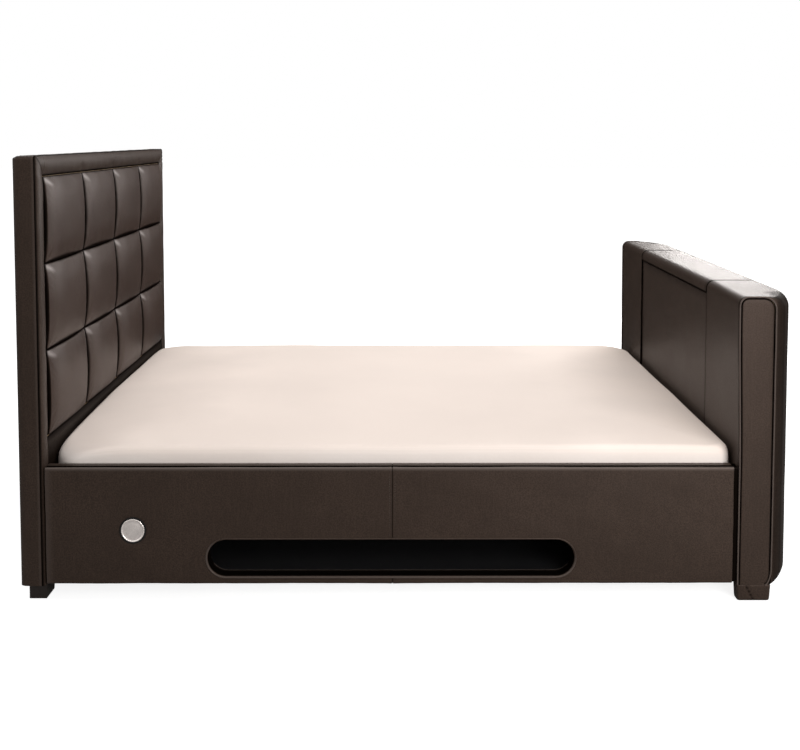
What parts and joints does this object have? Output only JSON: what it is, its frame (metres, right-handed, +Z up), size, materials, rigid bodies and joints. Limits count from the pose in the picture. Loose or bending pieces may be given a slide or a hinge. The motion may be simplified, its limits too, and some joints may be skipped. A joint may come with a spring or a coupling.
{
  "type": "television bed",
  "caption": "Upholstered king-size bed with a square-padded headboard, a media slot in the side rail and a television lift inside its deep footboard.",
  "frame": {"origin": "on the floor under the middle of the bed", "axes": "+X along the bed from the headboard to the footboard, +Y across the bed away from the rail that has the slot, +Z up"},
  "size_m": [2.298, 1.6, 1.326],
  "materials": {
    "dark_leather": "dark brown, satin, fine grain",
    "pad_leather": "dark brown, soft sheen",
    "mattress_cloth": "cream knitted cloth",
    "black_cloth": "black dust cloth on hardboard",
    "softwood": "planed, unfinished",
    "plywood": "sanded, unfinished",
    "beech": "laminated, satin",
    "black_board": "black faced board",
    "black_plastic": "black, moulded",
    "black_steel": "black powder coat",
    "zinc_steel": "zinc plated",
    "aluminium": "anodised",
    "disc_metal": "brushed, with a polished rim"
  },
  "bodies": {
    "bed": {"headboard_side_band": "dark_leather", "headboard_border": "dark_leather", "headboard_lower_panel": "dark_leather", "rail_cover_near": "dark_leather", "rail_cover_far": "dark_leather", "footboard_end_cover_near": "dark_leather", "footboard_end_cover_far": "dark_leather", "footboard_end_panel_near": "dark_leather", "footboard_end_panel_far": "dark_leather", "footboard_inner_cover": "dark_leather", "footboard_outer_cover": "dark_leather", "footboard_foot_near": "dark_leather", "footboard_foot_far": "dark_leather", "headboard_pads_1": "pad_leather", "headboard_pads_2": "pad_leather", "headboard_pads_3": "pad_leather", "mattress": "mattress_cloth", "headboard_back_panel": "black_cloth", "headboard_frame": "softwood", "rail_board_near": "softwood", "rail_board_far": "softwood", "footboard_base": "softwood", "headboard_front_board": "plywood", "footboard_former_near": "plywood", "footboard_former_far": "plywood", "footboard_inner_panel": "plywood", "footboard_outer_panel": "plywood", "slat_row_near": "beech", "slat_row_far": "beech", "media_shelf": "black_board", "headboard_foot_near": "black_plastic", "headboard_foot_far": "black_plastic", "lift_lower_collar": "black_plastic", "actuator_body": "black_plastic", "control_box": "black_plastic", "centre_rail": "black_steel", "centre_leg_head": "black_steel", "centre_leg_foot": "black_steel", "lift_base": "black_steel", "lift_outer_column": "black_steel", "shelf_bracket": "zinc_steel", "bed_bolt_head_near": "zinc_steel", "bed_bolt_head_far": "zinc_steel", "bed_bolt_foot_near": "zinc_steel", "bed_bolt_foot_far": "zinc_steel", "barrel_nut_head_near": "zinc_steel", "barrel_nut_head_far": "zinc_steel", "barrel_nut_foot_near": "zinc_steel", "barrel_nut_foot_far": "zinc_steel", "rail_disc": "disc_metal"},
    "lift_middle": {"lift_middle_column": "zinc_steel", "lift_upper_collar": "black_plastic", "actuator_rod": "zinc_steel"},
    "lift_top": {"lift_top_column": "aluminium", "tv_crossbar": "black_steel", "tv_arm_near": "black_steel", "tv_arm_far": "black_steel", "lid_mast": "black_steel", "lid_board": "plywood", "lid_cover": "dark_leather"}
  },
  "joints": [
    {"name": "lift_middle_slide", "type": "slide", "parent": "bed", "child": "lift_middle", "axis": [0, 0, 1], "range_m": [0, 0.3]},
    {"name": "lift_top_slide", "type": "slide", "parent": "lift_middle", "child": "lift_top", "axis": [0, 0, 1], "range_m": [0, 0.3]}
  ],
  "couplings": [
    {"joint": "lift_top_slide", "follows": "lift_middle_slide", "ratio": 1}
  ]
}
